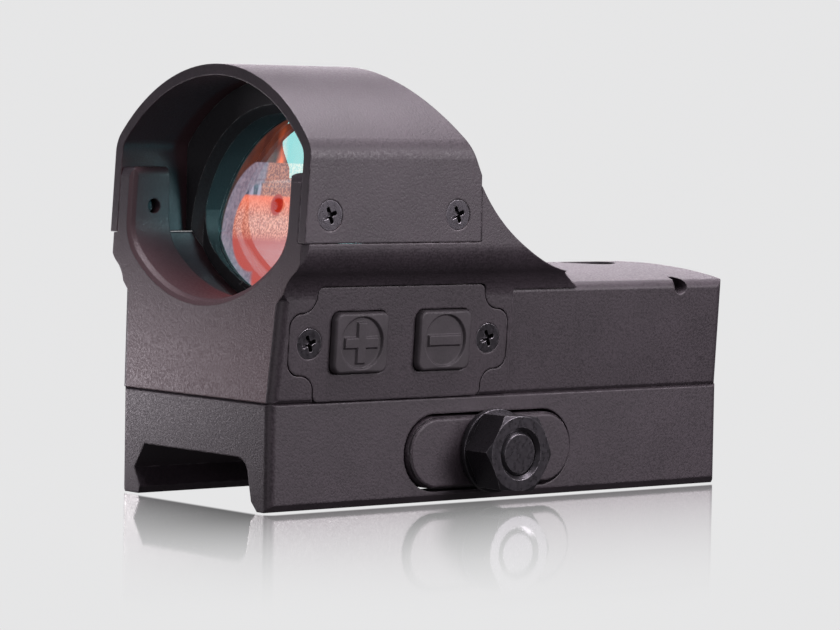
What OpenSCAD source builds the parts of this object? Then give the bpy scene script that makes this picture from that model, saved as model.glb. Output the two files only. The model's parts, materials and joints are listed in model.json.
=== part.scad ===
// Hooded red dot finder: a reflex sight with a tunnel hood on a rail clamp base.
// Millimetres. X runs across the sight (+X is the control and clamp side), -Y looks at the
// target, +Z is up. The origin is on the rail seat, on the mid-plane and at mid-length.

/* [Base and rail] */
// Length of the base and of the housing
base_l = 79.7; // [79:0.1:81]
// Width of the base
base_w = 33.8; // [33.6:0.1:34.4]
// Depth of the feet below the rail seat
foot_drop = 6.85; // [6.6:0.05:7]
// Height of the base above the rail seat
split_z = 7.43; // [7.2:0.01:7.6]
// Width of the accessory rail across its points
rail_w = 21.2; // [21:0.1:21.2]
// Place of the rail's centreline across the base
rail_x = -3.1; // [-3.2:0.1:-3]

/* [Housing] */
// Width of the housing where it meets the base
housing_w = 34.6; // [34.4:0.1:35]
// Outward lean of the housing's sides, in degrees
side_tilt = 3.7; // [3:0.1:4]
// Set-back of the front face for each millimetre of height
front_rake = 0.065; // [0.05:0.005:0.07]
// Height where the hood rests on the housing
ledge_z = 28.25; // [28:0.05:28.5]
// Height of the rear deck at its crown
deck_z = 24.15; // [24:0.05:24.3]

/* [Hood] */
// Width of the hood
hood_w = 44.2; // [44:0.1:44.6]
// Height of the hood's crown above the rail seat
hood_top = 51.4; // [51:0.1:52]
// Radius of the hood's crown
hood_r = 28.2; // [28:0.1:28.6]
// Wall of the hood
hood_t = 1.5; // [1.4:0.05:1.6]
// Place of the hood's rear edge
hood_back = -9.1; // [-9.3:0.1:-9]

/* [Lens] */
// Height of the lens centre
lens_z = 26.75; // [26.5:0.05:27]
// Radius of the lens
lens_r = 18.9; // [18.7:0.1:18.9]
// Radius of the spherical lens surfaces
lens_curve = 100; // [90:1:120]
// Backward lean of the lens, in degrees
lens_tilt = 8; // [6:0.5:9]

/* [Controls] */
// Centre of the control panel along the sight
panel_y = -19.15; // [-19.3:0.05:-19]
// Distance from the panel's centre to a button
button_pitch = 7.05; // [7:0.05:7.1]
// Distance a button travels
button_travel = 0.5; // [0.4:0.05:0.5]

/* [Clamp and adjusters] */
// Place of the cross bolt along the base
bolt_y = -2.85; // [-3:0.05:-2.7]
// Width across the flats of the clamp nut
nut_af = 10; // [10:0.1:10.2]
// Place of both adjusters along the sight
adjuster_y = 29.5; // [29.3:0.1:29.7]
// Turn of the clamp nut about its axis, in degrees
nut_angle = 26.3; // [-30:0.1:30]

/* [Hidden] */
$fn = 64;
e = 0.02;
black = [0.13, 0.12, 0.13];
dark = [0.07, 0.07, 0.08];
steel = [0.55, 0.55, 0.57];
brass = [0.72, 0.58, 0.3];
coil_steps = 20;
wire_sides = 8;

base_y = base_l / 2;
base_x = base_w / 2;
side_x = housing_w / 2;
ledge_x = hood_w / 2;
flare_z = 21.7;
cove_z = 20.5;
cove_top = 28;
cove_steps = 10;
corner_r = 1.4;
ledge_bevel = 0.8;
rear_corner_r = 1.6;
lip_r = 1;
ear_edge = 1.2;
base_edge = 0.35;
step_inset = 0.3;
hood_bend = 4;
hood_fit = 0.15;
lug_t = 6.6;
lug_in = 17.6;
window_z = 20.2;
window_top = 46;
window_r = 24;
window_bend = 6;
hood_screw_z = 31.95;
hood_screw_ys = [-34.45, -13.13];
shoulder_c = [11.5, 47.6];
shoulder_r = 23.7;
screw_head_r = 2;
screw_r = 0.98;
thread_gap = 0.02;

cell_y = -27;
cell_back = -18.6;
lens_front = -25;
element_t = 1.2;
lens_lap = 0.6;
seal_t = 0.5;

panel_t = 1.6;
gasket_t = 0.4;
panel_mid = 7.7;
panel_top = 15.05;
panel_screw = 15.1;
panel_gap = 0.15;
button_size = [9, 8.1];
button_h = 0.9;
key_back = -2.6;

bolt_z = -0.15;
bolt_r = 3;
neck_r = 2.5;
shoe_l = 28.6;
shoe_h = 9.7;
shoe_gap = 0.4;
shoe_out = 17.8;
slot_x = 9.8;
washer_t = 1;
nut_h = 4.9;
nut_x = shoe_out + washer_t + 2 * e;
fillet = 2.5;
wall_x = 12.4;

beam_angle = 14.6;
beam_start = [0, 25, 14];
adjuster_r = 1.95;
head_r = 3.7;
elevation_seat = 20.3;
windage_seat = -14.6;
windage_z = 12.5;
lock_at = [31.3, 21.6];
led_room = [[-11.2, 22, split_z], [9.2, 37, 18.8]];

battery_at = [-3, -14];
battery_r = 10;
battery_t = 3.2;
screw_places = [for (x = [-6.5, 6.5], y = [-34, 15]) [x, y]];
dowel_places = [[-13, 34], [13, 34]];

// ---- helpers -------------------------------------------------------------------------------

function front_y(z) = -base_y + front_rake * (z - split_z);
function side_at(z) = side_x + tan(side_tilt) * (z - split_z);
function mirrored(p) = concat(p, [for (i = [len(p) - 1:-1:0]) [-p[i][0], p[i][1]]]);

// Extrudes a front-view outline (X across, Z up) from y0 to y1
module along_y(y0, y1)
    translate([0, y1, 0]) rotate([90, 0, 0]) linear_extrude(y1 - y0) children();

// Extrudes a side-view outline (Y along, Z up) from x0 to x1
module along_x(x0, x1)
    translate([x0, 0, 0]) rotate([90, 0, 90]) linear_extrude(x1 - x0) children();

// Box between two corners
module block(a, b) translate(a) cube(b - a);

// Round bar along X between x0 and x1
module rod_x(r, x0, x1)
    translate([x0, 0, 0]) rotate([0, 90, 0]) cylinder(r = r, h = x1 - x0);

// What a round corner of radius r leaves of its square, pointing to +X +Y
module corner_waste(r) difference() {
    square(r + 1);
    circle(r);
}

// Rectangle with round corners, centred
module pad(size, r) {
    square([size[0] - 2 * r, size[1]], center = true);
    square([size[0], size[1] - 2 * r], center = true);
    for (x = [-1, 1], y = [-1, 1])
        translate([x * (size[0] / 2 - r), y * (size[1] / 2 - r)]) circle(r);
}

// Upright outline with straight sides, tight bends and a shallow crown
module domed(half_w, top, crown_r, bend_r, z0) {
    crown_z = top - crown_r;
    bend_x = half_w - bend_r;
    rise = sqrt(pow(crown_r - bend_r, 2) - pow(bend_x, 2));
    translate([-half_w, z0]) square([2 * half_w, crown_z + rise - z0]);
    for (s = [-1, 1]) translate([s * bend_x, crown_z + rise]) circle(bend_r);
    intersection() {
        translate([0, crown_z]) circle(crown_r, $fn = 128);
        translate([0, crown_z]) polygon([[0, 0], 2 * [bend_x, rise], 2 * [-bend_x, rise]]);
    }
}

// Outline of the hood, drawn in by an inset
module hood_outline(inset, z0)
    domed(hood_w / 2 - inset, hood_top - inset, hood_r - inset, hood_bend - inset, z0);

// Outline of the front window, widened by grow: a wide arc below and straight sides above
module window_outline(grow) rotate(180)
    domed(lug_in + grow, grow - window_z, window_r + grow, window_bend + grow, -window_top);

// Countersunk screw along +X with its head's face at x = 0
module flat_screw(length, head, shank) {
    sink = head - shank + 0.1;
    difference() {
        rotate([0, -90, 0]) rotate_extrude()
            polygon([[0, 0], [head, 0], [head, 0.1], [shank, sink], [shank, length - 0.3],
                [shank - 0.3, length], [0, length]]);
        for (a = [0, 90]) rotate([a + 20, 0, 0]) along_x(-0.45 * head, 1)
            pad([head * 1.15, head * 0.3], head * 0.12);
    }
}

// The hole that a countersunk screw goes in, a little larger than the screw
module screw_hole(length, head, shank) {
    sink = head - shank + 0.1;
    rotate([0, -90, 0]) rotate_extrude()
        polygon([[0, -2], [head + 0.05, -2], [head + 0.05, 0.1], [shank + thread_gap, sink + 0.05],
            [shank + thread_gap, length], [0, length]]);
}

// Compression spring standing on z = 0: a ring of wire points swept up a helix
module coil(r, wire, length, turns) {
    steps = turns * coil_steps;
    points = [for (i = [0:steps], j = [0:wire_sides - 1])
        let (a = 360 * i / coil_steps, b = 360 * j / wire_sides,
            out = r - wire / 2 + wire / 2 * cos(b))
        [out * cos(a), out * sin(a), wire / 2 * (1 + sin(b)) + (length - wire) * i / steps]];
    sides = [for (i = [0:steps - 1], j = [0:wire_sides - 1])
        let (p = i * wire_sides + j, q = i * wire_sides + (j + 1) % wire_sides)
        each [[p, q, q + wire_sides], [p, q + wire_sides, p + wire_sides]]];
    polyhedron(points, concat(sides, [[for (j = [wire_sides - 1:-1:0]) j],
        [for (j = [0:wire_sides - 1]) steps * wire_sides + j]]));
}

// Places children on the leaning +X side face: x is outward, y along, z up the face
module on_side()
    translate([side_x, 0, split_z]) rotate([0, side_tilt, 0]) children();

// Places children so that +Z runs along the emitter's beam
module on_beam() translate(beam_start) rotate([90 - beam_angle, 0, 0]) children();

// ---- housing -------------------------------------------------------------------------------

// Points of the S of two arcs by which the housing's side flares out to the hood ledge
function cove() = let (x0 = side_at(cove_z), wide = ledge_x - x0, tall = cove_top - cove_z,
    r = (wide * wide + tall * tall) / (4 * wide), step = asin(tall / 2 / r) / cove_steps) concat(
    [for (i = [0:cove_steps]) [x0 + r - r * cos(i * step), cove_z + r * sin(i * step)]],
    [for (i = [cove_steps - 1:-1:0]) [ledge_x - r + r * cos(i * step), cove_top - r * sin(i * step)]]);

// Front view of the housing's front half
module flared_outline() polygon(mirrored(concat([[side_x - 0.4, split_z], [side_x, split_z + 0.4]],
    cove(), [[ledge_x, 45]])));

// Front view of the rear deck, with a shallow crown
module deck_outline() intersection() {
    polygon(mirrored([[side_x - step_inset - 0.4, split_z], [side_x - step_inset, split_z + 0.4],
        [side_at(flare_z) - step_inset, flare_z], [side_at(flare_z) - step_inset, 40]]));
    domed(side_at(flare_z) - step_inset, deck_z, 85, 1.5, split_z);
}

// Side view of the front half: raked face, hood ledge, shoulder and the step in the side
module front_side_outline() difference() {
    polygon([[front_y(split_z), split_z], [front_y(ledge_z), ledge_z],
        [hood_back + 0.1, ledge_z], [hood_back + 0.1, 35.75], [8, 35.75], [8, 23.9],
        [11.6, flare_z], [0, flare_z], [0, split_z]]);
    translate(shoulder_c) circle(shoulder_r, $fn = 128);
}

// Ears that stand inside the hood and take its screws, with their upper edges rounded
module lugs(y0, y1, top) intersection() {
    along_y(y0, y1) difference() {
        hood_outline(hood_t + hood_fit, ledge_z - 2);
        window_outline(0);
        translate([-40, top]) square([80, 40]);
        for (s = [0, 1]) mirror([s, 0]) translate([lug_in + ear_edge, top - ear_edge])
            mirror([1, 0]) corner_waste(ear_edge);
    }
    along_x(-40, 40) difference() {
        polygon([[front_y(20), 20], [front_y(40), 40], [0, 40], [0, 20]]);
        translate([front_y(top) + ear_edge, top - ear_edge]) mirror([1, 0]) corner_waste(ear_edge);
    }
}

// Places children, drawn upright against y = 0, on the raked front face
module on_front() translate([0, -base_y, split_z]) rotate([-atan(front_rake), 0, 0])
    translate([0, 0, -split_z]) children();

// What is cut off a front corner: a round edge up the side, running out in a slope below the cove
module front_corner_waste() {
    intersection() {
        on_front() translate([side_x, 0, split_z]) rotate([0, side_tilt, 0])
            translate([-corner_r, corner_r, -1]) mirror([0, 1, 0]) linear_extrude(ledge_z)
            difference() {
                square(corner_r + 2);
                circle(corner_r);
            }
        translate([side_at(cove_z), -base_y, cove_z + 2]) rotate([-45, 0, 0]) rotate([0, -35, 0])
            block([-20, -20, -40], [20, 20, 0]);
    }
    on_front() translate([ledge_x, 0, cove_z]) linear_extrude(ledge_z)
        polygon([[-ledge_bevel - 1, -1], [1, -1], [1, ledge_bevel + 1]]);
}

// What is cut off a rear corner
module rear_corner_waste() translate([side_x - step_inset, base_y, split_z])
    rotate([0, side_tilt, 0]) translate([-rear_corner_r, -rear_corner_r, -1])
        linear_extrude(deck_z) corner_waste(rear_corner_r);

// Lip around the front edge of the window, cut in two slopes
module window_lip() {
    profile = [[lip_r, -0.08], [0.3 * lip_r, 0.3 * lip_r], [-0.08, lip_r]];
    on_front() for (i = [0, 1]) hull() for (p = [profile[i], profile[i + 1]])
        along_y(p[0] - e, p[0]) window_outline(p[1]);
}

module housing_solid() {
    difference() {
        union() {
            intersection() {
                along_y(-base_y, 12) flared_outline();
                along_x(-40, 40) front_side_outline();
            }
            difference() {
                along_y(-1, base_y) deck_outline();
                along_x(-40, 40) translate([base_y - 2.2, deck_z - 2.2]) corner_waste(2.2);
            }
        }
        for (s = [0, 1]) mirror([s, 0, 0]) {
            rear_corner_waste();
            front_corner_waste();
        }
    }
    lugs(-base_y, front_y(ledge_z) + lug_t, 37.35);
    lugs(cell_back + 0.2, hood_back + 0.2, 35.6);
}

// Window, lens pocket and the sight channel that runs back to the deck
module optics_cut() {
    along_y(-base_y - 5, 2) window_outline(0);
    window_lip();
    intersection() {
        along_y(1, 12) window_outline(0);
        along_x(-40, 40) polygon([[1, 20.15], [2, 20.15], [8.3, 24.6], [8.3, 60], [1, 60]]);
    }
    along_y(front_y(ledge_z) + lug_t, cell_back + 0.2) window_outline(2);
    on_beam() cylinder(r = 2.5, h = 40);
    on_beam() translate([0, 0, 20]) cylinder(r = 3.25, h = 20);
}

// Pockets for the panel, its circuit board, the battery, the emitter and its cable
module electronics_cut() {
    on_side() along_x(-panel_t - gasket_t, 3) panel_outline(-panel_gap);
    on_side() along_x(-7, 0) board_room();
    for (s = [-1, 1]) on_side() translate([0, panel_y + s * panel_screw, panel_mid])
        rod_x(1, -7, 0);
    translate([battery_at[0], battery_at[1], split_z - 1]) {
        cylinder(r = battery_r + 0.2, h = 4.7);
        cylinder(r = 3.4, h = 5.8);
    }
    translate([battery_at[0], battery_at[1], split_z]) seal_ring(0.55, 0.02);
    block(led_room[0] - [0, 0, 1], led_room[1]);
    block([10.6, -9, 12.6], [12.6, 24.5, 15.8]);
    block([9, 22.2, 12.6], [12.6, 24.5, 15.8]);
}

// Holes for the adjusters, the lock screw and the fasteners
module fastener_cut() {
    translate([0, adjuster_y, 0]) {
        translate([0, 0, 15]) cylinder(r = adjuster_r + 0.05, h = 8);
        translate([0, 0, elevation_seat]) cylinder(r = head_r + 0.35, h = 8);
        translate([0, 0, windage_z]) {
            rod_x(adjuster_r + 0.05, -16, -10);
            rod_x(head_r + 0.35, -22, windage_seat);
        }
    }
    translate([0, lock_at[0], lock_at[1]]) {
        rod_x(screw_r + thread_gap, 2, 20);
        rod_x(1.2, 15.3, 20);
    }
    for (s = [0, 1], y = hood_screw_ys) mirror([s, 0, 0])
        translate([0, y, hood_screw_z]) rod_x(screw_r + thread_gap, 17, 21.5);
    for (p = screw_places) translate([p[0], p[1], 0]) cylinder(r = 1.5, h = 13.4);
    for (p = dowel_places) translate([p[0], p[1], 0]) cylinder(r = 1.5, h = 11.5);
}

module main_housing() color(black) difference() {
    housing_solid();
    optics_cut();
    electronics_cut();
    fastener_cut();
}

module hood() color(black) difference() {
    z0 = ledge_z + 0.1;
    intersection() {
        along_y(-45, 0) difference() {
            hood_outline(0, z0);
            hood_outline(hood_t, z0 - 5);
        }
        along_x(-40, 40) polygon([[front_y(z0 - 1), z0 - 1], [front_y(60), 60],
            [hood_back - 10.2, 60], [hood_back, 37.15], [hood_back, z0 - 1]]);
    }
    hood_screw_places() screw_hole(6, screw_head_r, screw_r);
}

// Each of the hood's four screws, with its head's face just below the hood's side
module hood_screw_places() for (s = [0, 1], y = hood_screw_ys) mirror([s, 0, 0])
    translate([ledge_x - 0.05, y, hood_screw_z]) children();

module hood_screws() color(steel) hood_screw_places() flat_screw(3.5, screw_head_r, screw_r);

// ---- lens ----------------------------------------------------------------------------------

// Round lens with its lower side cut to the window's arc
module lens_outline(inset) intersection() {
    translate([0, lens_z]) circle(lens_r - inset, $fn = 128);
    translate([0, window_z + window_r]) circle(window_r + lens_lap - inset, $fn = 128);
}

// Opening of the lens cell: round above, with the window's own edge below
module cell_opening() intersection() {
    translate([0, lens_z]) circle(lens_r - 0.7, $fn = 128);
    window_outline(0);
}

// Everything behind a spherical surface that leans back by lens_tilt
module behind_surface(depth) {
    centre = [0, lens_front + depth + lens_curve * cos(lens_tilt),
        lens_z - lens_curve * sin(lens_tilt)];
    translate(centre) sphere(lens_curve, $fn = 96);
}

// Curved slice of the lens between two depths behind its front surface
module lens_slice(d0, d1) intersection() {
    along_y(-32, -15) children();
    difference() {
        behind_surface(d0);
        behind_surface(d1);
    }
}

module lens_cell() color(dark) difference() {
    along_y(cell_y, cell_back) {
        intersection() {
            window_outline(1.85);
            translate([-30, 0]) square([60, ledge_z + 0.5]);
        }
        hood_outline(hood_t + hood_fit, ledge_z + 0.2);
    }
    along_y(cell_y - 1, cell_back + 1) cell_opening();
    intersection() {
        behind_surface(-seal_t - e);
        along_y(-30, cell_back + 1) lens_outline(-0.05);
    }
    translate([0, cell_y - e, lens_z]) rotate([-90, 0, 0])
        cylinder(r1 = lens_r + 0.5, r2 = lens_r - 0.7, h = 1.3, $fn = 128);
}

module lens_gasket() color(dark) lens_slice(-seal_t, -e) difference() {
    lens_outline(0);
    lens_outline(0.7);
}

module front_lens() color([0.85, 0.4, 0.25, 0.5]) lens_slice(0, element_t) lens_outline(0);

module rear_lens() color([0.6, 0.85, 0.9, 0.4])
    lens_slice(element_t + 0.01, 2 * element_t) lens_outline(0);

module lens_retainer() color(black)
    lens_slice(2 * element_t + e, 2 * element_t + 1) difference() {
        lens_outline(0);
        lens_outline(1.2);
    }

// ---- controls ------------------------------------------------------------------------------

// Side view of the control panel: a plate with an ear at each end, drawn in by an inset
module panel_outline(inset) translate([panel_y, 0]) {
    ear = [3.6, 11.6];
    half = 14.1;
    reach = 18.4;
    difference() {
        union() {
            translate([0, panel_top / 2]) pad([2 * (half - inset), panel_top - 2 * inset], 0.9);
            translate([0, (ear[0] + ear[1]) / 2])
                pad([2 * (reach - inset), ear[1] - ear[0] - 2 * inset], 1.9);
            for (s = [-1, 1]) scale([s, 1]) {
                translate([half - 1, ear[1] - 1]) square(3.4 - inset);
                translate([half - 1, ear[0] - 2 + inset]) square([3.2 - inset, 2.5]);
            }
        }
        for (s = [0, 1]) mirror([s, 0, 0]) {
            translate([half + 2.5, ear[1] + 2.5]) circle(2.5 + inset);
            translate([half + 2.3, ear[0] - 2.3]) circle(2.3 + inset);
        }
    }
}

// Side view of the room behind the panel for the keys and the board
module board_room() translate([panel_y, panel_mid]) pad([25.8, 10.2], 1);

module at_button(s) on_side() translate([0, panel_y + s * button_pitch, panel_mid]) children();

module control_panel() color(black) difference() {
    on_side() along_x(-panel_t, 0) panel_outline(0);
    for (s = [-1, 1]) at_button(s) along_x(-5, 5) pad(button_size + [0.3, 0.3], 1.15);
    panel_screw_places() screw_hole(4, screw_head_r, screw_r);
}

module panel_screw_places() for (s = [-1, 1])
    on_side() translate([-0.05, panel_y + s * panel_screw, panel_mid]) children();

module panel_screws() color(steel) panel_screw_places() flat_screw(5, screw_head_r, screw_r);

module panel_gasket() color(dark) on_side() along_x(-panel_t - gasket_t, -panel_t) difference() {
    panel_outline(0.5);
    board_room();
    for (s = [-1, 1]) translate([panel_y + s * panel_screw, panel_mid]) circle(1.3);
}

// Square key with a dished circle that holds a raised mark
module button(s) at_button(s) {
    difference() {
        along_x(-panel_t - 0.1, button_h) pad(button_size, 1);
        along_x(button_h - 0.35, button_h + 1) circle(3.6);
    }
    along_x(key_back, -panel_t - 0.05) pad(button_size + [1.2, 1.2], 1.2);
    along_x(0, button_h) intersection() {
        children();
        circle(3.3);
    }
}

module plus_button() color(dark) button(-1) {
    square([5.6, 1.5], center = true);
    square([1.5, 5.6], center = true);
}

module minus_button() color(dark) button(1) square([5.6, 1.5], center = true);

module keypad_membrane() color([0.25, 0.25, 0.27])
    on_side() translate([0, panel_y, panel_mid]) along_x(-3.9, key_back - button_travel - 0.2)
        pad([25.2, 9.6], 0.8);

module dome_switches() color(steel)
    for (s = [-1, 1]) at_button(s) along_x(-4.6, -3.95) circle(2.5);

module circuit_board() color([0.1, 0.35, 0.18])
    on_side() translate([0, panel_y, panel_mid]) along_x(-5.7, -4.65) pad([25, 9.4], 0.6);

module controller_chip() color(dark)
    on_side() translate([0, panel_y, panel_mid]) along_x(-6.6, -5.75) pad([5, 5], 0.2);

// ---- battery -------------------------------------------------------------------------------

// Ring that seals the battery room against the base
module seal_ring(r, grow) rotate_extrude()
    translate([battery_r + 1.5, r]) circle(r + grow, $fn = 32);

module battery() color(steel) translate([battery_at[0], battery_at[1], split_z + 0.1]) {
    cylinder(r = battery_r, h = battery_t - 0.6);
    cylinder(r = battery_r - 1.2, h = battery_t);
}

module battery_contact() color(brass)
    translate([battery_at[0], battery_at[1], split_z + battery_t + 0.15]) difference() {
        cylinder(r = 3.2, h = 0.9);
        translate([0, 0, -e]) cylinder(r1 = 2.2, r2 = 1.2, h = 1);
        block([-0.5, 0, -1], [0.5, 5, 2]);
    }

module battery_seal() color(dark)
    translate([battery_at[0], battery_at[1], split_z + 0.01]) seal_ring(0.5, 0);

// ---- emitter and adjusters -----------------------------------------------------------------

module windage_block() color(brass) difference() {
    block([-9.5, 23, 7.6], [7, 36, 17]);
    block([-4.1, 24.6, 8.8], [4.1, 34.4, 20]);
    block([-2.8, 22, 10.5], [2.8, 26, 20]);
    translate([0, adjuster_y, windage_z]) rod_x(2.3, 5, 8);
}

module led_holder() color(brass) difference() {
    block([-4, 24.7, 9.9], [4, 34.3, 17.2]);
    on_beam() translate([0, 0, -2]) cylinder(r = 1.3, h = 5);
    translate([0, adjuster_y, 8]) cylinder(r = 2.3, h = 5);
}

module led_emitter() color([0.8, 0.1, 0.08]) on_beam() {
    translate([0, 0, -1.9]) cylinder(r = 1.25, h = 1.6);
    translate([0, 0, -1]) cylinder(r = 0.8, h = 1.2);
}

module emitter_window() color([0.7, 0.8, 0.85, 0.4])
    on_beam() translate([0, 0, 20.02]) cylinder(r = 3.2, h = 1);

// Slotted adjuster screw standing on +Z with the underside of its head at z = 0
module adjuster(head_h, shank) difference() {
    union() {
        translate([0, 0, -shank]) cylinder(r = adjuster_r, h = shank + 0.1);
        cylinder(r = head_r, h = head_h - 0.3);
        translate([0, 0, head_h - 0.3]) cylinder(r1 = head_r, r2 = head_r - 0.3, h = 0.3);
    }
    translate([-5, -0.45, head_h - 0.8]) cube([10, 0.9, 2]);
}

module elevation_screw() color(steel) translate([0, adjuster_y, 21]) adjuster(2, 2.98);

module elevation_pad() color(steel) translate([0, adjuster_y, 17.22]) cylinder(r = 2.6, h = 0.78);

module elevation_spring() color(steel)
    translate([0, adjuster_y, 8.85]) coil(2, 0.5, 4.1, 4);

module windage_screw() color(steel) translate([-15.2, adjuster_y, windage_z])
    rotate([0, -90, 0]) adjuster(1.8, 5.68);

module windage_spring() color(steel) translate([5.05, adjuster_y, windage_z])
    rotate([0, 90, 0]) coil(2, 0.5, 4.1, 4);

module lock_screw() color(dark) translate([3.75, lock_at[0], lock_at[1]]) difference() {
    rod_x(screw_r, 0, 11.4);
    translate([10.2, 0, 0]) rotate([0, 90, 0]) cylinder(r = 0.5, h = 3, $fn = 6);
}

module led_cable() color([0.6, 0.35, 0.1]) {
    block([11.2, -8, 13], [11.7, 23.6, 15.4]);
    block([8.2, 23.1, 13], [11.3, 23.6, 15.4]);
}

// ---- base and clamp ------------------------------------------------------------------------

// Slot with round ends, centred
module obround(l, h) pad([l, h], h / 2 - 0.001);

// Front view of the rail channel: fixed jaw on -X, filleted wall on +X
module channel_outline() difference() {
    left = rail_x - rail_w / 2;
    polygon([[left + 0.7, -foot_drop - 1], [left + 1.3, -5.95], [left, -3.4], [left + 2.3, 0],
        [wall_x, 0], [wall_x, -2.5], [13.1, -5.6], [14.4, -foot_drop], [14.4, -foot_drop - 1]]);
    translate([wall_x - fillet, -fillet]) corner_waste(fillet);
}

module rail_base() color(black) difference() {
    intersection() {
        along_y(-base_y, base_y) polygon(mirrored([[base_x - 1, -foot_drop],
            [base_x, -foot_drop + 1], [base_x, split_z - base_edge], [base_x - base_edge, split_z - e]]));
        along_x(-base_x - 1, base_x + 1) polygon(mirrored([[base_y, -foot_drop - 1],
            [base_y, split_z - base_edge], [base_y - base_edge, split_z - e]]));
    }
    along_y(-base_y - 1, base_y + 1) channel_outline();
    for (x = [0, 1], y = [0, 1]) mirror([x, 0, 0]) mirror([0, y, 0])
        translate([base_x - 1.2, base_y - 1.2, -foot_drop - 1]) linear_extrude(30) corner_waste(1.2);
    translate([0, bolt_y, bolt_z]) {
        along_x(slot_x, 20) obround(shoe_l + 2 * shoe_gap, shoe_h + 2 * shoe_gap);
        rod_x(neck_r + 0.1, -16, slot_x + 1);
        rod_x(4.3, -20, -14.4);
    }
    for (p = screw_places) translate([p[0], p[1], 0.15]) rotate([0, 90, 0]) screw_hole(20, 2.9, 1.48);
    for (p = dowel_places) translate([p[0], p[1], 4]) cylinder(r = 1.5, h = 10);
}

module base_screws() color(steel) for (p = screw_places)
    translate([p[0], p[1], 0.15]) rotate([0, 90, 0]) flat_screw(12.8, 2.9, 1.48);

module dowel_pins() color(steel) for (p = dowel_places)
    translate([p[0], p[1], 4.1]) cylinder(r = 1.48, h = 7.2);

module clamp_jaw() color(black) translate([0, bolt_y, 0]) difference() {
    edge = rail_x + rail_w / 2 + 0.1;
    union() {
        translate([0, 0, bolt_z]) along_x(slot_x + 0.1, shoe_out - 0.4) obround(shoe_l, shoe_h);
        translate([0, 0, bolt_z]) along_x(14, shoe_out) obround(shoe_l - 0.6, shoe_h - 0.6);
        along_y(-13, 13) polygon([[slot_x + 0.4, -1.9], [edge + 1.15, -1.9], [edge, -3.05],
            [edge, -3.75], [edge - 1.3, -4.9], [slot_x + 0.4, -4.9]]);
    }
    translate([0, 0, bolt_z]) rod_x(bolt_r + 0.06, 0, 20);
}

module clamp_washer() color(dark) translate([shoe_out + e, bolt_y, bolt_z]) difference() {
    rod_x(5.7, 0, washer_t);
    rod_x(bolt_r + 0.1, -1, 2);
}

module cross_bolt() color(dark) translate([0, bolt_y, bolt_z]) {
    rod_x(4.2, -16.6, -14.42);
    rod_x(neck_r, -15, slot_x + 1);
    rod_x(bolt_r, slot_x + 0.05, nut_x + nut_h - 0.6);
    translate([nut_x + nut_h - 0.6, 0, 0]) rotate([0, 90, 0])
        cylinder(r1 = bolt_r, r2 = bolt_r - 0.4, h = 0.4);
}

module clamp_nut() color(dark) translate([nut_x, bolt_y, bolt_z]) rotate([nut_angle, 0, 0])
    rotate([0, 90, 0]) difference() {
        corner_r = nut_af / 2 / cos(30);
        intersection() {
            cylinder(r = corner_r, h = nut_h, $fn = 6);
            rotate_extrude($fn = 96) polygon([[0, 0], [corner_r - 0.3, 0], [corner_r, 0.2],
                [corner_r, nut_h - 0.4], [corner_r - 0.75, nut_h], [0, nut_h]]);
        }
        translate([0, 0, -1]) cylinder(r = bolt_r + 0.05, h = nut_h + 2);
        translate([0, 0, nut_h - 0.5]) cylinder(r1 = bolt_r + 0.05, r2 = bolt_r + 0.6, h = 0.55);
    }

main_housing();
hood();
hood_screws();
lens_cell();
lens_gasket();
front_lens();
rear_lens();
lens_retainer();
control_panel();
panel_gasket();
panel_screws();
plus_button();
minus_button();
keypad_membrane();
dome_switches();
circuit_board();
controller_chip();
battery();
battery_contact();
battery_seal();
led_holder();
led_emitter();
emitter_window();
elevation_screw();
elevation_pad();
elevation_spring();
windage_block();
windage_screw();
windage_spring();
lock_screw();
led_cable();
rail_base();
base_screws();
dowel_pins();
clamp_jaw();
clamp_washer();
cross_bolt();
clamp_nut();
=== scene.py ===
"""Looks of the hooded red dot finder: materials, rounded edges, soft keys, springs and a pale studio.

Everything is in metres in the CAD's own frame: X across (+X is the key side), -Y looks at the target, Z up.
"""

import json
import math

import bmesh
import bpy
from mathutils import Matrix, Vector


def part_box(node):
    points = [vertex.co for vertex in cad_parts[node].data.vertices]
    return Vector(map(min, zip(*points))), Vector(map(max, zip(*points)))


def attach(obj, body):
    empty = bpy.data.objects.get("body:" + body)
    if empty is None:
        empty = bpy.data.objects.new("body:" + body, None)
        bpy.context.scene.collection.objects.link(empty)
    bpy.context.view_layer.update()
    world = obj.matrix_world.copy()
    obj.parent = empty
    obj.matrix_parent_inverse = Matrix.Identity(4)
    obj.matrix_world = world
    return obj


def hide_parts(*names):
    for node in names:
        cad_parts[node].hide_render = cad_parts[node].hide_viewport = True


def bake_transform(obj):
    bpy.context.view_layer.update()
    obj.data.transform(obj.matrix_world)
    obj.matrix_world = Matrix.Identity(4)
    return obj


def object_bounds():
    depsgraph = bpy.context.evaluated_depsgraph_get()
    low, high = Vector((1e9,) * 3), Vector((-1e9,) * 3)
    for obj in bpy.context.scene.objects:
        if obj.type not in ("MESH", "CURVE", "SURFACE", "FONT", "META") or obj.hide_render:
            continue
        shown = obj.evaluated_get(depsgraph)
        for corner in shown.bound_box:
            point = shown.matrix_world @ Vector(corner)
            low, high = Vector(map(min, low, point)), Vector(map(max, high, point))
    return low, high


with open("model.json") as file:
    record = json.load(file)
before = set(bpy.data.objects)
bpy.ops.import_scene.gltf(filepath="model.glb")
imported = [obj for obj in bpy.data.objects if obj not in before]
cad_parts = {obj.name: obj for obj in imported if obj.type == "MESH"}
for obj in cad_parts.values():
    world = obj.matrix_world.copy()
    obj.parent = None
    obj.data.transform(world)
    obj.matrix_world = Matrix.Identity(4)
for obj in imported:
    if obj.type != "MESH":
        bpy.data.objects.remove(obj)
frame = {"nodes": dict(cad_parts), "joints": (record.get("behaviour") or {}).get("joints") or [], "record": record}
cad_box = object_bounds()
nodes = frame["nodes"]
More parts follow.
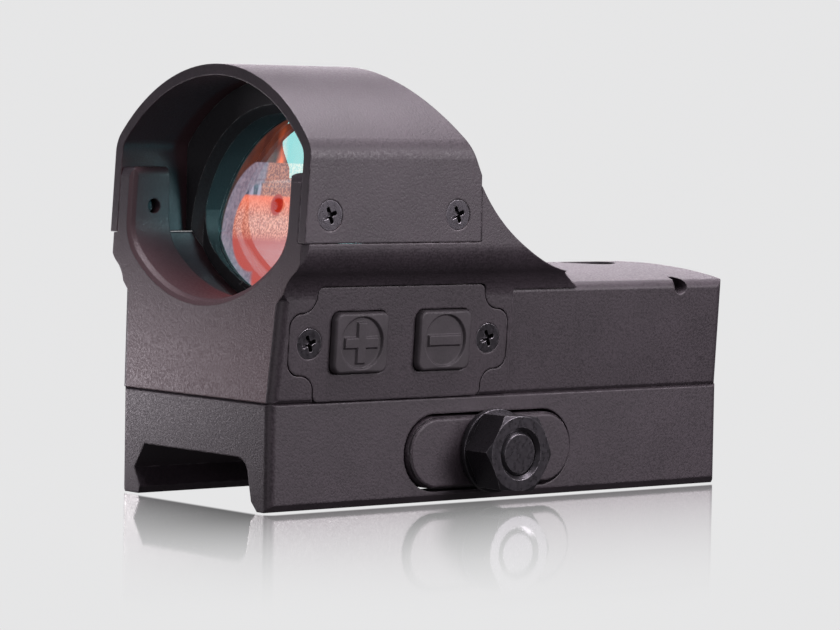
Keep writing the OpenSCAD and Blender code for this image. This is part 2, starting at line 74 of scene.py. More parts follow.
MM = 0.001

LENS_AXIS_Z = sum(corner.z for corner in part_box("lens_cell")) / 2
HOOD_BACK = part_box("hood")[1].y

BEVEL_SAMPLES = 6
EDGE_FLAT, EDGE_SHARP = 0.995, 0.85
INWARD_FROM, INWARD_TO = -0.2 * MM, -1.4 * MM

# ---- shader helper -------------------------------------------------------------------------------


class Shader:
    """A material's node tree, with short calls that add and join nodes."""

    def __init__(self, name):
        self.material = bpy.data.materials.new(name)
        self.material.use_nodes = True
        self.tree = self.material.node_tree
        self.tree.nodes.clear()
        self.output = self.node("OutputMaterial")
        self.place = self.node("TexCoord").outputs["Object"]

    def node(self, kind, inputs=None, **settings):
        made = self.tree.nodes.new("ShaderNode" + kind)
        for key, value in settings.items():
            setattr(made, key, value)
        for key, value in (inputs or {}).items():
            self.join(value, made.inputs[key])
        return made

    def join(self, value, socket):
        if isinstance(value, bpy.types.NodeSocket):
            self.tree.links.new(value, socket)
        else:
            socket.default_value = value

    def surface(self, shader):
        self.join(shader, self.output.inputs["Surface"])
        return self.material

    def noise(self, size, detail=2.0, stretch=(1, 1, 1)):
        """Noise between 0 and 1 with features of this size."""
        place = self.node("Mapping", {"Vector": self.place, "Scale": stretch}).outputs[0]
        inputs = {"Vector": place, "Scale": 1 / size, "Detail": detail}
        return self.node("TexNoise", inputs).outputs[0]

    def math(self, operation, a, b=0.0, clamp=False):
        made = self.node("Math", operation=operation, use_clamp=clamp)
        self.join(a, made.inputs[0])
        self.join(b, made.inputs[1])
        return made.outputs[0]

    def remap(self, value, low, high, to_low=0.0, to_high=1.0):
        """Maps low to to_low and high to to_high in a straight line, held at both ends."""
        inputs = {"Value": value, "From Min": low, "From Max": high, "To Min": to_low, "To Max": to_high}
        return self.node("MapRange", inputs).outputs[0]

    def mix(self, share, a, b):
        """Colour a where share is 0 and b where it is 1."""
        made = self.node("Mix", data_type="RGBA")
        self.join(share, made.inputs[0])
        self.join((*a, 1) if isinstance(a, tuple) else a, made.inputs[6])
        self.join((*b, 1) if isinstance(b, tuple) else b, made.inputs[7])
        return made.outputs[2]

    def rounded(self, radius):
        """The surface's normal, turned near edges as if they were rounded."""
        return self.node("Bevel", {"Radius": radius}, samples=BEVEL_SAMPLES).outputs[0]

    def edges(self, radius):
        """1 on edges and 0 on open surfaces, from how far a rounded normal turns away."""
        facing = self.dot(self.rounded(radius), self.node("NewGeometry").outputs["Normal"])
        return self.remap(facing, EDGE_FLAT, EDGE_SHARP)

    def dot(self, a, b):
        return self.node("VectorMath", {0: a, 1: b}, operation="DOT_PRODUCT").outputs["Value"]

    def inner_faces(self):
        """1 where a surface under the hood faces the lens axis, else 0."""
        axis = (0, 0, LENS_AXIS_Z)
        from_axis = self.node("VectorMath", {0: self.place, 1: axis}, operation="SUBTRACT").outputs[0]
        spread = self.node("VectorMath", {0: from_axis, 1: (1, 0, 1)}, operation="MULTIPLY").outputs[0]
        facing = self.dot(spread, self.node("NewGeometry").outputs["Normal"])
        under_hood = self.math("LESS_THAN", self.axis("Y"), HOOD_BACK)
        return self.math("MULTIPLY", self.remap(facing, INWARD_FROM, INWARD_TO), under_hood)

    def axis(self, name):
        return self.node("SeparateXYZ", {0: self.place}).outputs[name]

    def far(self, x, z):
        """Distance from an axis along Y through x and z."""
        across = self.math("SUBTRACT", self.axis("X"), x)
        up = self.math("SUBTRACT", self.axis("Z"), z)
        squares = self.math("ADD", self.math("MULTIPLY", across, across), self.math("MULTIPLY", up, up))
        return self.math("SQRT", squares)

    def bump(self, height, depth, strength=1.0, normal=None):
        inputs = {"Height": height, "Distance": depth, "Strength": strength}
        if normal:
            inputs["Normal"] = normal
        return self.node("Bump", inputs).outputs[0]

    def principled(self, **inputs):
        named = {key.replace("_", " "): value for key, value in inputs.items()}
        return self.surface(self.node("BsdfPrincipled", named).outputs[0])


# ---- materials -----------------------------------------------------------------------------------


CLOUD_SIZE, GRAIN_SIZE, SCUFF_SIZE = 9 * MM, 0.3 * MM, 1.6 * MM
CLOUD_SHARE = 0.35
WEAR_WIDTH, WEAR_EVERYWHERE = 0.18 * MM, 0.12
GRAIN_DEPTH, EDGE_ROUND = 0.05 * MM, 0.3 * MM
BARE_STEEL = (0.42, 0.41, 0.43)
TOOL_LINES = (1, 1, 14)


def anodised(name, dark, light, worn, roughness=0.5, sheen=0.5, inside=None):
    """Fine-blasted, anodised aluminium: speckled grain, cloudy tone and paler worn edges.

    With a colour for inside, faces that look at the lens axis from under the hood take that colour, as painted
    light on them."""
    s = Shader(name)
    fine = s.noise(GRAIN_SIZE, 3)
    cloud = s.remap(s.noise(CLOUD_SIZE, 3), 0.35, 0.65, 0, CLOUD_SHARE)
    speck = s.remap(fine, 0.38, 0.62, 0, 1 - CLOUD_SHARE)
    colour = s.mix(s.math("ADD", cloud, speck), dark, light)
    scuffs = s.remap(s.noise(SCUFF_SIZE, 4), 0.42, 0.66, WEAR_EVERYWHERE, 1 + WEAR_EVERYWHERE)
    wear = s.math("MULTIPLY", s.edges(WEAR_WIDTH), scuffs, clamp=True)
    colour = s.mix(wear, colour, worn)
    # Painted light: the inside colour stands in for light that falls on the faces under the hood.
    if inside:
        colour = s.mix(s.inner_faces(), colour, inside)
    rough = s.remap(fine, 0.3, 0.7, roughness - 0.1, roughness + 0.1)
    normal = s.bump(fine, GRAIN_DEPTH, 0.6, s.rounded(EDGE_ROUND))
    return s.principled(Base_Color=colour, Roughness=rough, Specular_IOR_Level=sheen, Normal=normal)


def black_steel(name, tone, roughness):
    """Black-oxide steel with a thin oily sheen and bright worn corners."""
    s = Shader(name)
    fine = s.noise(0.5 * MM, 3)
    bare = s.math("MULTIPLY", s.edges(0.16 * MM), s.remap(s.noise(0.9 * MM, 3), 0.35, 0.6), clamp=True)
    colour = s.mix(bare, tone, BARE_STEEL)
    rough = s.remap(fine, 0.3, 0.7, roughness - 0.06, roughness + 0.1)
    return s.principled(Base_Color=colour, Roughness=rough, Metallic=0.75,
                        Normal=s.bump(fine, 0.01 * MM, 0.35, s.rounded(0.12 * MM)))


def turned_metal(name, colour, roughness):
    """Bare machined metal with fine tool lines."""
    s = Shader(name)
    lines = s.noise(1.2 * MM, 4, TOOL_LINES)
    tone = s.mix(s.remap(lines, 0.3, 0.7), tuple(0.78 * c for c in colour), colour)
    rough = s.remap(lines, 0.3, 0.7, roughness, roughness + 0.16)
    return s.principled(Base_Color=tone, Roughness=rough, Metallic=1.0, Normal=s.bump(lines, 0.01 * MM, 0.4))


def rubber(name, tone, light):
    """Matt moulded rubber with a faint texture and paler edges."""
    s = Shader(name)
    fine = s.noise(0.28 * MM, 3)
    colour = s.mix(s.remap(s.noise(4 * MM, 3), 0.35, 0.7), tone, light)
    colour = s.mix(s.math("MULTIPLY", s.edges(0.3 * MM), 0.55), colour, tuple(2.6 * c for c in light))
    return s.principled(Base_Color=colour, Roughness=s.remap(fine, 0.3, 0.7, 0.5, 0.68),
                        Normal=s.bump(fine, 0.015 * MM, 0.5))


COATING_RADIUS, COATING_RISE_RADIUS = 40.4 * MM, 300 * MM
COATING_TURN, COATING_LEVEL = -0.082, 30.0 * MM
COATING_BLUR = 0.35
COATING_RED, COATING_CYAN = (1.0, 0.3, 0.18), (0.52, 0.97, 0.97, 1)
LIGHT_THROUGH = (0.75, 1.0, 1.0, 1)

# Painted reflection of the lit cheek in the coating: a disc cut off level at the top, open towards +X, with a pale
# band
GHOST_X, GHOST_Z, GHOST_R = -7.9 * MM, 29.3 * MM, 9.2 * MM
GHOST_BAND = 3.3 * MM
GHOST_TOP, GHOST_STEP, GHOST_GLOW, GHOST_FOOT = 38.1 * MM, 33.5 * MM, 31.0 * MM, 28.6 * MM
HOLE_X, HOLE_Z, HOLE_R = -3.55 * MM, 32.5 * MM, 1.4 * MM
BROWN_FROM, BROWN_FULL = 31 * MM, 37 * MM
FLARE_REACH, FLARE_FADE, FLARE_FOOT = 4.2 * MM, 3.2 * MM, 24.0 * MM
TONGUE_LEAN, TONGUE_PLACE, TONGUE_TOP, TONGUE_FULL = 0.22, 3.9 * MM, 43.5 * MM, 38 * MM
GHOST_VIEW, GHOST_VIEW_FROM, GHOST_VIEW_FULL = (0.776, -0.628, 0.056), 0.9, 0.985

# Colours of the painted reflection: cheek, its upper part and stripes, glow, foot, screw hole, pale band, brown
# glow, dark, and flames.
CHEEK = (0.44, 0.12, 0.09), (0.84, 0.38, 0.28)
CHEEK_ABOVE = (0.22, 0.07, 0.06), (0.55, 0.22, 0.15)
CHEEK_STRIPES = (0.05, 0.055, 0.09), (0.34, 0.3, 0.4)
CHEEK_GLOW, CHEEK_FOOT, HOLE_RED = (0.95, 0.17, 0.07), (0.48, 0.09, 0.08), (0.42, 0.02, 0.008)
PALE_BAND = (0.17, 0.14, 0.19), (0.28, 0.23, 0.29)
BROWN = (0.05, 0.013, 0.01), (0.09, 0.022, 0.012)
DEEP, FLAME = (0.006, 0.003, 0.003), (0.95, 0.16, 0.04)


def painted_cheek_reflection(s, x, z, radius):
    """Painted reflection of the lit cheek: speckled red, with its step, a glow, the screw hole and a pale outer
    band.
    """
    speck = s.remap(s.noise(0.32 * MM, 3), 0.4, 0.62)
    stripes = s.remap(s.noise(1.1 * MM, 1, (1.2, 1, 0.25)), 0.45, 0.6)
    above = s.mix(s.remap(x, GHOST_X + 0.3 * MM, GHOST_X - 0.5 * MM), s.mix(speck, *CHEEK_ABOVE),
                  s.mix(stripes, *CHEEK_STRIPES))
    step = s.remap(z, GHOST_STEP - 0.4 * MM, GHOST_STEP + 0.3 * MM)
    cheek = s.mix(step, s.mix(speck, *CHEEK), above)
    glow = s.math("MULTIPLY", s.remap(z, GHOST_GLOW, GHOST_GLOW + 2.2 * MM),
                  s.remap(z, GHOST_STEP + 0.3 * MM, GHOST_STEP, 0, 0.75))
    cheek = s.mix(glow, cheek, CHEEK_GLOW)
    cheek = s.mix(s.remap(z, GHOST_FOOT, GHOST_FOOT - 1.2 * MM), cheek, CHEEK_FOOT)
    hole = s.remap(s.far(HOLE_X, HOLE_Z), HOLE_R + 0.2 * MM, HOLE_R - 0.1 * MM)
    cheek = s.mix(hole, cheek, HOLE_RED)
    core_r = GHOST_R - GHOST_BAND
    core = s.math("MAXIMUM", s.remap(x, GHOST_X, GHOST_X + 0.8 * MM),
                  s.remap(radius, core_r + 0.35 * MM, core_r))
    band = s.mix(s.remap(s.noise(0.6 * MM, 3), 0.35, 0.65), *PALE_BAND)
    return s.mix(core, band, cheek)


def painted_flare_reflection(s, x, z, radius):
    """Painted reflection around the cheek: a brown glow, flames of light below it and a tongue of light above."""
    flames = s.remap(s.noise(2.2 * MM, 3, (1, 1, 0.45)), 0.38, 0.6)
    brown = s.mix(s.remap(z, BROWN_FROM, BROWN_FULL), DEEP, s.mix(flames, *BROWN))
    low = s.math("MULTIPLY", s.remap(z, FLARE_FOOT + FLARE_FADE, FLARE_FOOT),
                 s.remap(radius, GHOST_R + FLARE_REACH, GHOST_R + 0.4 * MM))
    lean = s.math("ADD", x, s.math("MULTIPLY", z, TONGUE_LEAN))
    aside = s.math("ABSOLUTE", s.math("SUBTRACT", lean, TONGUE_PLACE))
    high = s.math("MULTIPLY", s.remap(aside, 1.5 * MM, 0.2 * MM), s.remap(z, TONGUE_TOP, TONGUE_FULL))
    flicker = s.remap(flames, 0, 1, 0.25, 1.15)
    fire = s.math("MULTIPLY", s.math("MAXIMUM", low, high), flicker, clamp=True)
    return s.mix(fire, brown, FLAME)


def painted_reflection(s):
    """Painted reflection of the red light thrown back by the coating: the lit cheek, and flares along the rim."""
    x, z = s.axis("X"), s.axis("Z")
    radius = s.far(GHOST_X, GHOST_Z)
    open_side = s.remap(x, GHOST_X - 0.5 * MM, GHOST_X)
    disc = s.remap(radius, GHOST_R + 0.3 * MM, GHOST_R)
    below_top = s.remap(z, GHOST_TOP + 0.15 * MM, GHOST_TOP)
    patch = s.math("MULTIPLY", s.math("MAXIMUM", open_side, disc), below_top)
    return s.mix(patch, painted_flare_reflection(s, x, z, radius), painted_cheek_reflection(s, x, z, radius))


def coated_glass(name):
    """Glass whose coating mirrors red light and lets cyan light through, once on the way in.

    The coating lies on an inner surface that stands upright and is hollow across, so it has its own normal.
    Seen from the key side in front, a painted reflection of the lit window's cheek glows on it as emission."""
    s = Shader(name)
    across = s.math("ADD", s.math("MULTIPLY", s.axis("X"), -1 / COATING_RADIUS), COATING_TURN)
    upward = s.math("MULTIPLY", s.math("SUBTRACT", s.axis("Z"), COATING_LEVEL), -1 / COATING_RISE_RADIUS)
    leaning = s.node("CombineXYZ", {0: across, 1: -1.0, 2: upward}).outputs[0]
    normal = s.node("VectorMath", {0: leaning}, operation="NORMALIZE").outputs[0]
    streaks = s.remap(s.noise(5 * MM, 3, (1, 1, 0.35)), 0.3, 0.7, 0.2, 0.45)
    reflected = s.node("VectorMath", {0: COATING_RED, "Scale": streaks}, operation="SCALE").outputs[0]
    passed = s.node("BsdfTransparent", {"Color": COATING_CYAN}).outputs[0]
    mirror_inputs = {"Color": reflected, "Roughness": COATING_BLUR, "Normal": normal}
    mirror = s.node("BsdfGlossy", mirror_inputs).outputs[0]
    coated = s.node("AddShader", {0: passed, 1: mirror}).outputs[0]
    # Painted reflection: the lit cheek and flares glow as emission, only when looked at from near the key side in
    # front.
    toward = s.dot(s.node("NewGeometry").outputs["Incoming"], GHOST_VIEW)
    painted_reflection_inputs = {"Color": painted_reflection(s), "Strength": s.remap(toward, GHOST_VIEW_FROM, GHOST_VIEW_FULL)}
    painted_reflection_glow = s.node("Emission", painted_reflection_inputs).outputs[0]
    coated = s.node("AddShader", {0: coated, 1: painted_reflection_glow}).outputs[0]
    seen = s.node("LightPath").outputs["Is Camera Ray"]
    front = s.math("SUBTRACT", 1.0, s.node("NewGeometry").outputs["Backfacing"])
    plain = s.node("BsdfTransparent", {"Color": LIGHT_THROUGH}).outputs[0]
    seen_front = s.math("MULTIPLY", seen, front)
    return s.surface(s.node("MixShader", {0: seen_front, 1: plain, 2: coated}).outputs[0])


def clear_glass(name):
    """Uncoated glass: nearly all of the light passes, with a thin mirror image."""
    s = Shader(name)
    fresnel = s.node("Fresnel", {"IOR": 1.35}).outputs[0]
    smudge = s.remap(s.noise(7 * MM, 3), 0.4, 0.7, 0.02, 0.07)
    passed = s.node("BsdfTransparent", {"Color": (0.93, 1.0, 0.99, 1)}).outputs[0]
    mirror = s.node("BsdfGlossy", {"Color": (0.75, 0.9, 1, 1), "Roughness": smudge}).outputs[0]
    glass = s.node("MixShader", {0: fresnel, 1: passed, 2: mirror}).outputs[0]
    back = s.node("NewGeometry").outputs["Backfacing"]
    plain = s.node("BsdfTransparent").outputs[0]
    return s.surface(s.node("MixShader", {0: back, 1: glass, 2: plain}).outputs[0])


def board(name):
    """Green solder mask with copper tracks just showing through it."""
    s = Shader(name)
    tracks = s.node("TexBrick", {"Vector": s.place, "Scale": 900.0, "Mortar Size": 0.09}).outputs["Fac"]
    colour = s.mix(tracks, (0.012, 0.1, 0.035), (0.05, 0.2, 0.06))
    return s.principled(Base_Color=colour, Roughness=s.remap(s.noise(1 * MM), 0.3, 0.7, 0.25, 0.4),
                        Normal=s.bump(tracks, 0.03 * MM, 0.6))


def moulded(name, colour, roughness):
    """Moulded plastic or film with a slight cloud in its tone."""
    s = Shader(name)
    cloud = s.noise(1.5 * MM, 3)
    tone = s.mix(s.remap(cloud, 0.3, 0.7), tuple(0.75 * c for c in colour), colour)
    return s.principled(Base_Color=tone, Roughness=s.remap(cloud, 0.3, 0.7, roughness, roughness + 0.12),
                        Normal=s.bump(s.noise(0.3 * MM), 0.01 * MM, 0.4))


ANODISED_TONES = ((0.018, 0.0135, 0.017), (0.040, 0.031, 0.038), (0.2, 0.18, 0.195))
MATERIALS = {
    "anodised_black": anodised("anodised_black", *ANODISED_TONES),
    "black_steel": black_steel("black_steel", (0.045, 0.043, 0.048), 0.3),
    "bare_steel": turned_metal("bare_steel", (0.56, 0.56, 0.58), 0.25),
    "brass": turned_metal("brass", (0.72, 0.52, 0.24), 0.24),
    "coated_glass": coated_glass("coated_glass"),
    "clear_glass": clear_glass("clear_glass"),
    "rubber_black": rubber("rubber_black", (0.026, 0.022, 0.025), (0.045, 0.039, 0.044)),
    "board_green": board("board_green"),
    "chip_black": moulded("chip_black", (0.03, 0.03, 0.032), 0.45),
    "emitter_red": moulded("emitter_red", (0.75, 0.04, 0.03), 0.1),
    "cable_amber": moulded("cable_amber", (0.62, 0.26, 0.05), 0.3),
}

for part in frame["record"]["subparts"]:
    for slot in nodes[part["node"]].material_slots:
        slot.link = "OBJECT"
        slot.material = MATERIALS[part["material_slot"]]

# Partly painted light: the faint teal in the cell's tones and the pale teal-grey of its worn edges are painted
# teal light along the lens rim; the paler edges are also wear.
CELL_TONES_PAINTED_TEAL = ((0.02, 0.02, 0.022), (0.032, 0.034, 0.036), (0.3, 0.33, 0.33))
# Painted light: faces under the hood that look at the lens axis get a paler, redder tone in place of the red light
# the lens throws on them.
HOOD_PAINTED_RED = anodised("anodised_painted_red_inside", *ANODISED_TONES, inside=(0.075, 0.042, 0.048))
CELL_PAINTED_TEAL = anodised("anodised_cell_painted_teal", *CELL_TONES_PAINTED_TEAL, sheen=0.3)
OWN_LOOKS = {"main_housing": HOOD_PAINTED_RED, "hood": HOOD_PAINTED_RED, "lens_cell": CELL_PAINTED_TEAL, "lens_gasket": CELL_PAINTED_TEAL}
for name, material in OWN_LOOKS.items():
    for slot in nodes[name].material_slots:
        slot.material = material

# ---- rounded edges on the jaw and washer ---------------------------------------------------------

EDGE_ROUNDS = {"clamp_jaw": 0.2 * MM, "clamp_washer": 0.12 * MM}
WELD_REACH, SHARP_ANGLE = 0.0001 * MM, math.radians(32)


def round_edges(name, radius):
    """Rounds a CAD node's sharp edges with modifiers, which leave its mesh as it is."""
    target = nodes[name]
    weld = target.modifiers.new("weld", "WELD")
    weld.merge_threshold = WELD_REACH
    bevel = target.modifiers.new("edges", "BEVEL")
    bevel.width = radius
    bevel.segments = 2
    bevel.limit_method = "ANGLE"
    bevel.angle_limit = SHARP_ANGLE
    bevel.use_clamp_overlap = False
    bevel.loop_slide = False
    bevel.harden_normals = True


for name, radius in EDGE_ROUNDS.items():
    round_edges(name, radius)

# ---- mesh pieces ---------------------------------------------------------------------------------


def add_piece(name, bm, material):
    """Turns a bmesh into an object in the scene."""
    mesh = bpy.data.meshes.new(name)
    bm.to_mesh(mesh)
    bm.free()
    mesh.materials.append(material)
    piece = bpy.data.objects.new(name, mesh)
    bpy.context.scene.collection.objects.link(piece)
    return piece


# ---- soft keys -----------------------------------------------------------------------------------

KEY_COLUMNS, KEY_RINGS = 208, 56
KEY_CREASE = math.radians(50)
HALVINGS = 24
KEY_FLANGE, FLANGE_T = 0.6 * MM, 0.95 * MM
KEY_CORNER, KEY_EDGE = 1.1 * MM, 0.5 * MM
DISH_R, DISH_DEPTH, DISH_SLOPE = 3.55 * MM, 0.36 * MM, 0.22 * MM
MARK_LENGTH, MARK_WIDTH, MARK_HEIGHT = 2.75 * MM, 0.72 * MM, 0.34 * MM


def reach(angle, half_w, half_h, corner):
    """Distance from the middle of a round-cornered rectangle to its outline at an angle."""
    low, high = 0.0, half_w + half_h
    for _ in range(HALVINGS):
        middle = (low + high) / 2
        x = abs(middle * math.cos(angle)) - (half_w - corner)
        y = abs(middle * math.sin(angle)) - (half_h - corner)
        outside = math.hypot(max(x, 0), max(y, 0)) + min(max(x, y), 0) - corner
        low, high = (middle, high) if outside < 0 else (low, middle)
    return low


def soft_step(value, low, high):
    """0 below low and 1 above high, with a smooth rise between them."""
    share = min(max((value - low) / (high - low), 0.0), 1.0)
    return share * share * (3 - 2 * share)


def key_height(u, v, inset, upright):
    """Drop of the key's face below its top: rounded edge, dished circle and a raised mark in it."""
    radius = math.hypot(u, v)
    edge = max(KEY_EDGE - inset, 0.0)
    drop = KEY_EDGE - math.sqrt(max(KEY_EDGE ** 2 - edge ** 2, 0.0))
    dish = DISH_DEPTH * soft_step(DISH_R - radius, 0, DISH_SLOPE)
    bars = [(abs(u), abs(v))] + ([(abs(v), abs(u))] if upright else [])
    inside = max(min(MARK_LENGTH - along, MARK_WIDTH - across) for along, across in bars)
    return drop + dish - MARK_HEIGHT * soft_step(inside, -0.1 * MM, 0.12 * MM)


def soft_key(node, body, joint, upright):
    """Moulded rubber key in place of a CAD key, with a plus mark if upright, else a minus mark."""
    press = next(j for j in frame["joints"] if j["name"] == joint)
    out = -Vector(press["axis"]).normalized()
    along = Vector((0, 1, 0))
    up = out.cross(along)
    corners = [v.co for v in nodes[node].data.vertices]
    spans = [(min(c.dot(d) for c in corners), max(c.dot(d) for c in corners)) for d in (along, up, out)]
    centre = [(low + high) / 2 for low, high in spans[:2]]
    flange = [(high - low) / 2 for low, high in spans[:2]]
    half = [size - KEY_FLANGE for size in flange]
    back, top = spans[2]
    bm = bmesh.new()

    def place(u, v, height):
        return bm.verts.new(along * (centre[0] + u) + up * (centre[1] + v) + out * height)

    turns = [2 * math.pi * i / KEY_COLUMNS for i in range(KEY_COLUMNS)]
    edges = [(reach(t, *half, KEY_CORNER), reach(t, *flange, KEY_CORNER + KEY_FLANGE)) for t in turns]
    rings = []
    for ring in range(1, KEY_RINGS + 1):
        share = ring / KEY_RINGS
        row = []
        for t, (edge, _) in zip(turns, edges):
            radius = edge * share
            u, v = radius * math.cos(t), radius * math.sin(t)
            row.append(place(u, v, top - key_height(u, v, edge - radius, upright)))
        rings.append(row)
    ledge = back + FLANGE_T
    for which, height in ((0, ledge), (1, ledge), (1, back)):
        rings.append([place(e[which] * math.cos(t), e[which] * math.sin(t), height)
                      for t, e in zip(turns, edges)])
    middle = place(0, 0, top - key_height(0, 0, half[1], upright))
    rear = place(0, 0, back)
    for i in range(KEY_COLUMNS):
        j = (i + 1) % KEY_COLUMNS
        bm.faces.new((middle, rings[0][i], rings[0][j]))
        bm.faces.new((rear, rings[-1][j], rings[-1][i]))
        for inner, outer in zip(rings, rings[1:]):
            bm.faces.new((inner[i], outer[i], outer[j], inner[j]))
    bmesh.ops.recalc_face_normals(bm, faces=bm.faces)
    for face in bm.faces:
        face.smooth = True
    for edge in bm.edges:
        edge.smooth = edge.calc_face_angle(0) < KEY_CREASE
    key = add_piece(node + "_soft", bm, MATERIALS["rubber_black"])
    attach(key, body)
    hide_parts(node)


soft_key("plus_button", "plus_key", "plus_press", True)
soft_key("minus_button", "minus_key", "minus_press", False)

# ---- springs -------------------------------------------------------------------------------------

SPRING_TURNS, SPRING_WIRE = 4, 0.5 * MM
COIL_STEPS, WIRE_SIDES = 36, 10


def live_spring(node, along):
    """Coil spring in place of a CAD spring."""
    low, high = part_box(node)
    axis = Vector(along)
    across = Vector((0, 1, 0))
    third = axis.cross(across)
    centre = (low + high) / 2
    length = (high - low).dot(axis)
    radius = (high.y - low.y) / 2 - SPRING_WIRE / 2
    first = centre - axis * length / 2
    bm = bmesh.new()
    rings = []
    steps = SPRING_TURNS * COIL_STEPS
    for step in range(steps + 1):
        turn = 2 * math.pi * step / COIL_STEPS
        outward = across * math.cos(turn) + third * math.sin(turn)
        middle = first + outward * radius + axis * (SPRING_WIRE / 2 + (length - SPRING_WIRE) * step / steps)
        ring = []
        for side in range(WIRE_SIDES):
            angle = 2 * math.pi * side / WIRE_SIDES
            offset = outward * math.cos(angle) + axis * math.sin(angle)
            ring.append(bm.verts.new(middle + offset * SPRING_WIRE / 2))
        rings.append(ring)
    for one, two in zip(rings, rings[1:]):
        for i in range(WIRE_SIDES):
            j = (i + 1) % WIRE_SIDES
            bm.faces.new((one[i], one[j], two[j], two[i])).smooth = True
    bm.faces.new(rings[0])
    bm.faces.new(rings[-1])
    bmesh.ops.recalc_face_normals(bm, faces=bm.faces)
    spring = add_piece(node + "_live", bm, MATERIALS["bare_steel"])
    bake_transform(spring)
    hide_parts(node)


live_spring("elevation_spring", (0, 0, 1))
live_spring("windage_spring", (1, 0, 0))

# ---- camera --------------------------------------------------------------------------------------

CAMERA_PLACE = (0.39516, -0.32122, 0.04571)
CAMERA_AZIMUTH, CAMERA_ELEVATION, CAMERA_ROLL = 51.02, 3.21, 0.98
CAMERA_LENS, CAMERA_SENSOR = 156.65, 36


def make_camera():
    data = bpy.data.cameras.new("camera")
    data.lens = CAMERA_LENS
    data.sensor_width = CAMERA_SENSOR
    camera = bpy.data.objects.new("camera", data)
    bpy.context.scene.collection.objects.link(camera)
    azimuth, elevation = math.radians(CAMERA_AZIMUTH), math.radians(CAMERA_ELEVATION)
    back = Vector((math.sin(azimuth) * math.cos(elevation),
                   -math.cos(azimuth) * math.cos(elevation), math.sin(elevation)))
    right = Vector((math.cos(azimuth), math.sin(azimuth), 0))
    level = Matrix((right, back.cross(right), back)).transposed()
    turn = Matrix.Rotation(math.radians(CAMERA_ROLL), 3, "Z")
    camera.matrix_world = Matrix.Translation(CAMERA_PLACE) @ (level @ turn).to_4x4()
    bpy.context.scene.camera = camera


make_camera()

# ---- studio --------------------------------------------------------------------------------------

BACKDROP = (0.79, 0.79, 0.795)
AMBIENT = (0.2, 0.193, 0.204)
FLOOR_LIGHT = (0.07, 0.066, 0.07)
MIRROR_REACH, MIRROR_SHARE, MIRROR_FADE, MIRROR_BLUR = 0.1, 0.88, 2.1, 0.05
CONTACT_FROM, CONTACT_TO = 1.2 * MM, 2.4 * MM
STEEP, SHALLOW = 0.55, 0.25
FLOOR_Z, FLOOR_REACH = cad_box[0].z, 6.0


def softbox(name, place, aim, size, power, colour):
    """Area lamp that lights the object but leaves no glare on the table top."""
    data = bpy.data.lights.new(name, "AREA")
    data.shape = "RECTANGLE"
    data.size, data.size_y = size
    data.energy = power
    data.color = colour
    lamp = bpy.data.objects.new(name, data)
    bpy.context.scene.collection.objects.link(lamp)
    lamp.location = place
    lamp.rotation_mode = "QUATERNION"
    lamp.rotation_quaternion = (Vector(aim) - Vector(place)).to_track_quat("-Z", "Y")
    lamp.visible_camera = False
    lamp.light_linking.receiver_collection = unlit


def make_world():
    world = bpy.data.worlds.new("studio")
    bpy.context.scene.world = world
    world.use_nodes = True
    tree = world.node_tree
    tree.nodes.clear()
    path = tree.nodes.new("ShaderNodeLightPath")
    seen = tree.nodes.new("ShaderNodeBackground")
    seen.inputs["Color"].default_value = (*BACKDROP, 1)
    light = tree.nodes.new("ShaderNodeBackground")
    light.inputs["Color"].default_value = (*AMBIENT, 1)
    mix = tree.nodes.new("ShaderNodeMixShader")
    out = tree.nodes.new("ShaderNodeOutputWorld")
    tree.links.new(path.outputs["Is Camera Ray"], mix.inputs[0])
    tree.links.new(light.outputs[0], mix.inputs[1])
    tree.links.new(seen.outputs[0], mix.inputs[2])
    tree.links.new(mix.outputs[0], out.inputs["Surface"])


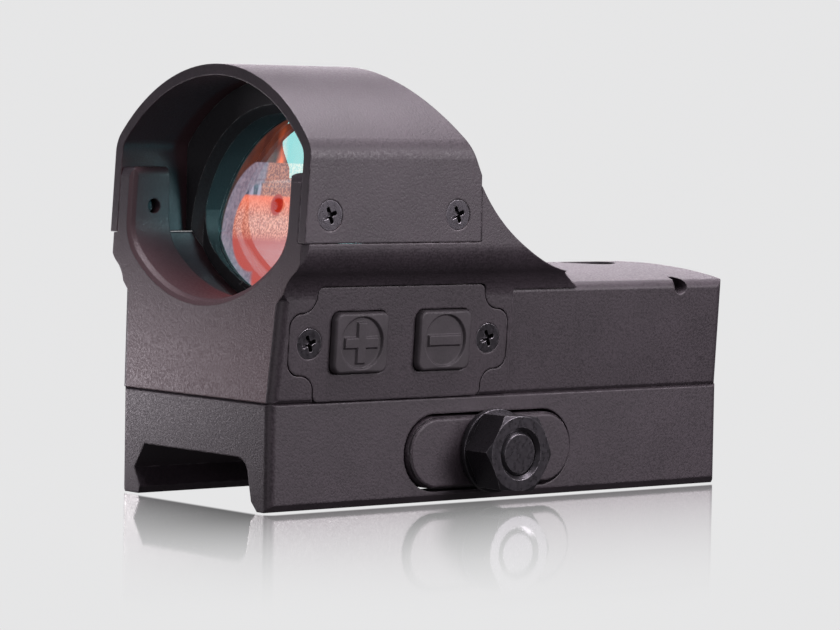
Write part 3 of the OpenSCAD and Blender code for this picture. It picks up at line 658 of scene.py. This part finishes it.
def floor_material():
    """Pale table top that mirrors the object faintly, less the further out or steeper one looks.

    It keeps a bright line along the base, and throws little light back at the object."""
    s = Shader("table_top")
    low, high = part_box("rail_base")
    centre = ((low.x + high.x) / 2, (low.y + high.y) / 2)
    half = ((high.x - low.x) / 2, (high.y - low.y) / 2)
    axes = s.node("SeparateXYZ", {0: s.place})
    outside = []
    for axis in (0, 1):
        offset = s.math("ABSOLUTE", s.math("SUBTRACT", axes.outputs[axis], centre[axis]))
        outside.append(s.math("MAXIMUM", s.math("SUBTRACT", offset, half[axis]), 0.0))
    squares = [s.math("MULTIPLY", d, d) for d in outside]
    distance = s.math("SQRT", s.math("ADD", *squares))
    left = s.remap(distance, 0.0, MIRROR_REACH, 1.0, 0.0)
    share = s.math("MULTIPLY", s.math("POWER", left, MIRROR_FADE), MIRROR_SHARE)
    share = s.math("MULTIPLY", share, s.remap(distance, CONTACT_FROM, CONTACT_TO))
    looking_down = s.node("SeparateXYZ", {0: s.node("NewGeometry").outputs["Incoming"]}).outputs["Z"]
    share = s.math("MULTIPLY", share, s.remap(looking_down, STEEP, SHALLOW))
    plain = s.node("Emission", {"Color": (*BACKDROP, 1)}).outputs[0]
    gain = tuple(shown / light for shown, light in zip(BACKDROP, AMBIENT))
    mirror = s.node("BsdfGlossy", {"Color": (*gain, 1), "Roughness": MIRROR_BLUR}).outputs[0]
    seen = s.node("MixShader", {0: share, 1: plain, 2: mirror}).outputs[0]
    thrown = s.node("Emission", {"Color": (*FLOOR_LIGHT, 1)}).outputs[0]
    camera_ray = s.node("LightPath").outputs["Is Camera Ray"]
    return s.surface(s.node("MixShader", {0: camera_ray, 1: thrown, 2: seen}).outputs[0])


def make_floor():
    bm = bmesh.new()
    signs = ((-1, -1), (1, -1), (1, 1), (-1, 1))
    bm.faces.new([bm.verts.new((x * FLOOR_REACH, y * FLOOR_REACH, FLOOR_Z)) for x, y in signs])
    floor = add_piece("table_top", bm, floor_material())
    return floor


make_world()
unlit = bpy.data.collections.new("unlit")
unlit.objects.link(make_floor())
unlit.collection_objects[0].light_linking.link_state = "EXCLUDE"

CENTRE = (cad_box[0] + cad_box[1]) / 2
WARM, TEAL, RED = (1.0, 0.91, 0.985), (0.22, 0.85, 1.0), (1.0, 0.08, 0.06)
FRONT_FACE, HOOD_INSIDE = (-0.012, -0.037, 0.008), (-0.004, -0.03, 0.034)
FAR_EAR, WINDOW_FLOOR = (-0.0176, -0.037, 0.0255), (-0.001, -0.037, 0.0205)
# Name, place, point it looks at, width and height in metres, watts, colour. The two glows are light that
# the lens throws back on the window's walls.
LAMPS = (
    ("top_light", (0.02, 0.05, 0.55), CENTRE, (0.5, 0.5), 8.0, WARM),
    ("side_light", (0.38, 0.2, 0.16), CENTRE, (0.2, 0.2), 1.65, WARM),
    ("front_light", (-0.09, -0.08, -0.002), FRONT_FACE, (0.04, 0.04), 0.052, WARM),
    ("back_light", (-0.36, 0.36, 0.2), CENTRE, (0.4, 0.12), 0.75, WARM),
    ("teal_glow", (0.0, -0.018, 0.026), FAR_EAR, (0.004, 0.003), 0.0006, TEAL),
    ("hood_fill", (0.1, -0.24, 0.05), HOOD_INSIDE, (0.12, 0.12), 0.1, WARM),
    ("red_glow", (-0.003, -0.0275, 0.0265), WINDOW_FLOOR, (0.004, 0.004), 0.0006, RED),
)
for lamp in LAMPS:
    softbox(*lamp)
bpy.context.scene.view_settings.view_transform = "Standard"
